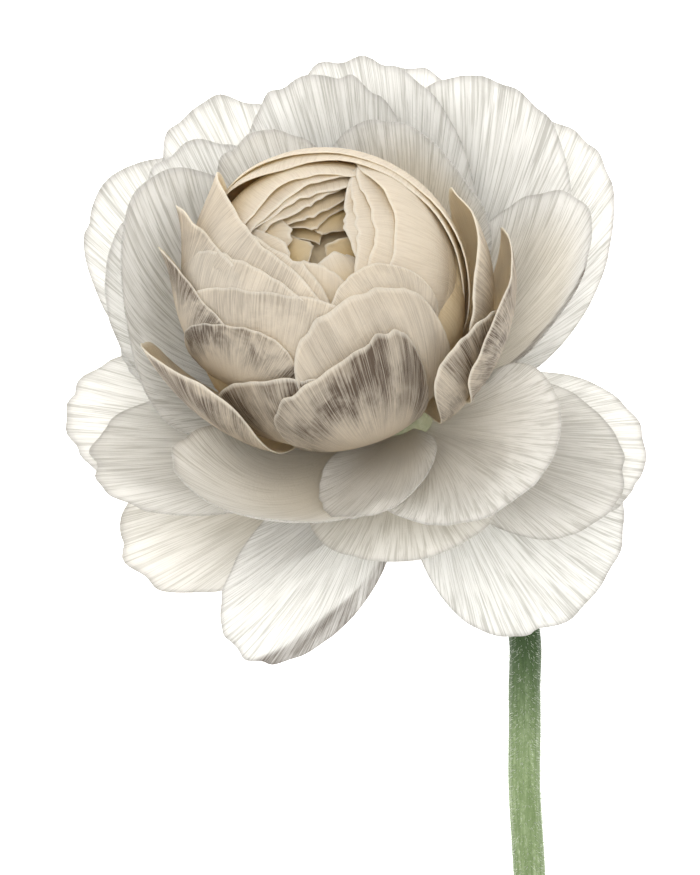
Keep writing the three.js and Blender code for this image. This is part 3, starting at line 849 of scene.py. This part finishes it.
def rounded(corners):
    """A profile with softly rounded corners, from a few (radius, height) pairs."""
    corners = np.array(corners, float)
    for _ in range(ROUNDINGS):
        before, after = corners[:-1], corners[1:]
        first = (1 - CORNER_CUT) * before + CORNER_CUT * after
        second = CORNER_CUT * before + (1 - CORNER_CUT) * after
        cut = np.stack([first, second], 1).reshape(-1, 2)
        corners = np.concatenate([corners[:1], cut, corners[-1:]])
    return corners


def add_core(material):
    """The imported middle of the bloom, wide at the claws and small under the eye."""
    profile = []
    for share in np.linspace(0, 1, CORE_LEVELS):
        polar = CORE_START + CORE_SWEEP * share
        radius = HEART_CORE_RADIUS - (HEART_CORE_RADIUS - EYE_CORE_RADIUS) * smooth(*CORE_NARROWS, polar)
        profile.append((radius * math.sin(polar * DEGREE), -radius * math.cos(polar * DEGREE)))
    add_round("heart_core", profile, HEART_CENTRE, CORE_LOBES, CORE_FILTERED_LIGHT, material, "heart")


def add_receptacle(green, pale):
    """The green knob that carries the petals, and the pale neck of the heart over it."""
    knob, neck = rounded(KNOB), rounded(NECK)
    add_round("receptacle", knob, RECEPTACLE, KNOB_LOBES, 0, green, "outer_petals")
    add_round("heart_neck", neck, RECEPTACLE, KNOB_LOBES, 0, pale, "heart")


def add_calyx(material):
    """The green cup under the petals and its sepals."""
    top = RECEPTACLE_BOTTOM - CLEARANCE
    low = top - CALYX_THICKNESS
    cup = [
        (0.2, top), (5.1, top), (CALYX_RADIUS, top - 0.6),
        (CALYX_RADIUS, low + 1), (4.6, low + 0.1), (0.2, low),
    ]
    add_round("calyx_cup", rounded(cup), RECEPTACLE, CUP_LOBES, 0, material, "calyx")
    for order in range(SEPAL_COUNT):
        seed = order + SEPAL_SEED
        name = f"sepal_{order + 1}"
        point = sepal_surface(order * 360 / SEPAL_COUNT, seed)
        add_petal(name, {}, point, SEPAL_BLADE, seed, material, "calyx")


def smooth_course(corners, count):
    """Points of a centripetal curve through the corners, count for each stretch but the first."""
    ends = [*corners, 2 * corners[-1] - corners[-2]]
    points = []
    for a, b, c, d in zip(ends, ends[1:], ends[2:], ends[3:]):
        before, middle, after = (math.sqrt(np.linalg.norm(q - p)) for p, q in ((a, b), (b, c), (c, d)))
        leave = ((b - a) / before - (c - a) / (before + middle) + (c - b) / middle) * middle
        arrive = ((c - b) / middle - (d - b) / (middle + after) + (d - c) / after) * middle
        for t in np.linspace(0, 1, count, endpoint=False):
            ease = 3 * t ** 2 - 2 * t ** 3
            place = (1 - ease) * b + ease * c
            points.append(place + (t ** 3 - 2 * t ** 2 + t) * leave + (t ** 3 - t ** 2) * arrive)
    points.append(corners[-1])
    return np.array(points)


def stem_course():
    """Centres, directions along, sideways and upward, and the length run so far down the stem."""
    start = RECEPTACLE_BOTTOM - CALYX_THICKNESS - 2 * CLEARANCE
    corners = [RECEPTACLE + height * HEAD_AXIS for height in (start + 2, start, start - 6)]
    lying = [np.array([x, y, STEM_DIAMETER / 2 - STEM_FLAT]) for x, y in STEM_COURSE]
    centres = smooth_course(corners + lying, STEM_POINTS)
    ways = unit(np.gradient(centres, axis=0))
    sides = unit(np.cross(ways, [0.0, 0.0, 1.0]))
    run = np.concatenate([[0], np.cumsum(np.linalg.norm(np.diff(centres, axis=0), axis=1))])
    return centres, ways, sides, np.cross(sides, ways), run


def stem_ring(course, index, share, end):
    """Points round the stem at a place on its course, drawn in to a share, and plain where it ends."""
    centres, _, sides, ups, run = course
    around = 2 * math.pi * np.arange(STEM_TURNS) / STEM_TURNS - math.pi / 2
    ribs = sum(depth * np.sin(count * around + turn * run[index]) for depth, count, turn in STEM_RIBS)
    radius = STEM_DIAMETER / 2 * share * (1 + ribs * (1 - end))
    outward = np.cos(around)[:, None] * sides[index] + np.sin(around)[:, None] * ups[index]
    ring = centres[index] + radius[:, None] * outward
    ring[:, 2] = np.maximum(ring[:, 2], 0)
    return ring


def add_stem(green, down):
    """A ribbed tube that lies on its flat side, with a plain cut end and short fine hairs."""
    course = stem_course()
    run = course[-1]
    last = len(run) - 1
    rings = [(index, 1.0, 0.0) for index in range(last + 1)]
    rings += [(last, share, 1.0) for share in CUT_RINGS]
    points = np.concatenate([stem_ring(course, *ring) for ring in rings])
    lengths = np.array([run[index] for index, _, _ in rings])
    ends = np.array([end for _, _, end in rings])
    across = np.tile(np.arange(STEM_TURNS) / STEM_TURNS, len(rings))
    uv = np.stack([across, np.repeat(lengths / UV_LENGTH, STEM_TURNS)], -1)
    shade = 1 - smooth(*SHADE_ENDS, lengths)
    tones = {"cut": np.repeat(ends, STEM_TURNS), "shade": np.repeat(shade, STEM_TURNS)}
    piece = write_mesh("stem_skin", points, tube_faces(len(rings), STEM_TURNS), uv, tones)
    finish_piece(piece, green, "stem")
    add_hairs(course, down)


def hair_points(base, tip, along, across):
    """Three corners round the base of a hair, and its tip."""
    points = []
    for corner in range(3):
        angle = 2 * corner * math.pi / 3
        points.append(base + HAIR_WIDTH / 2 * (math.cos(angle) * along + math.sin(angle) * across))
    return points + [tip]


def add_hairs(course, material):
    """Short pointed hairs over the upper side of the stem."""
    centres, ways, sides, ups, run = course
    draw = np.random.default_rng(HAIR_SEED)
    points, faces = [], []
    for hair in range(HAIR_COUNT):
        index = np.searchsorted(run, draw.uniform(BARE_TOP, run[-1] - BARE_END))
        around = draw.uniform(*HAIR_PLACES) * math.pi
        outward = math.cos(around) * sides[index] + math.sin(around) * ups[index]
        base = centres[index] + outward * (STEM_DIAMETER / 2 - HAIR_ROOT)
        lean = draw.uniform(*HAIR_LEAN) * ways[index] + draw.uniform(*HAIR_SWAY) * sides[index]
        tip = base + unit(outward + lean) * draw.uniform(*HAIR_LENGTHS)
        points += hair_points(base, tip, ways[index], np.cross(outward, ways[index]))
        faces += [[4 * hair + corner for corner in face] for face in HAIR_FACES]
    piece = write_mesh("stem_hairs", np.array(points), faces, np.zeros((len(points), 2)), {})
    finish_piece(piece, material, "stem")


bpy.context.scene.view_settings.view_transform = "Standard"
add_camera()
add_floor()
add_world()
add_light("key", **KEY_LIGHT)
add_light("fill", **FILL_LIGHT)
heart_tissue = petal_material("heart_petal", HEART_TISSUE)
outer_tissue = petal_material("outer_petal", OUTER_TISSUE)
add_heart(heart_tissue)
add_core(heart_tissue)
add_outer(outer_tissue)
stem_skin = green_material("stem", *STEM_GREENS)
calyx_skin = green_material("calyx", *CALYX_GREENS)
knob_skin = green_material("claws", *KNOB_GREENS)
add_receptacle(knob_skin, heart_tissue)
add_calyx(calyx_skin)
add_stem(stem_skin, down_material())
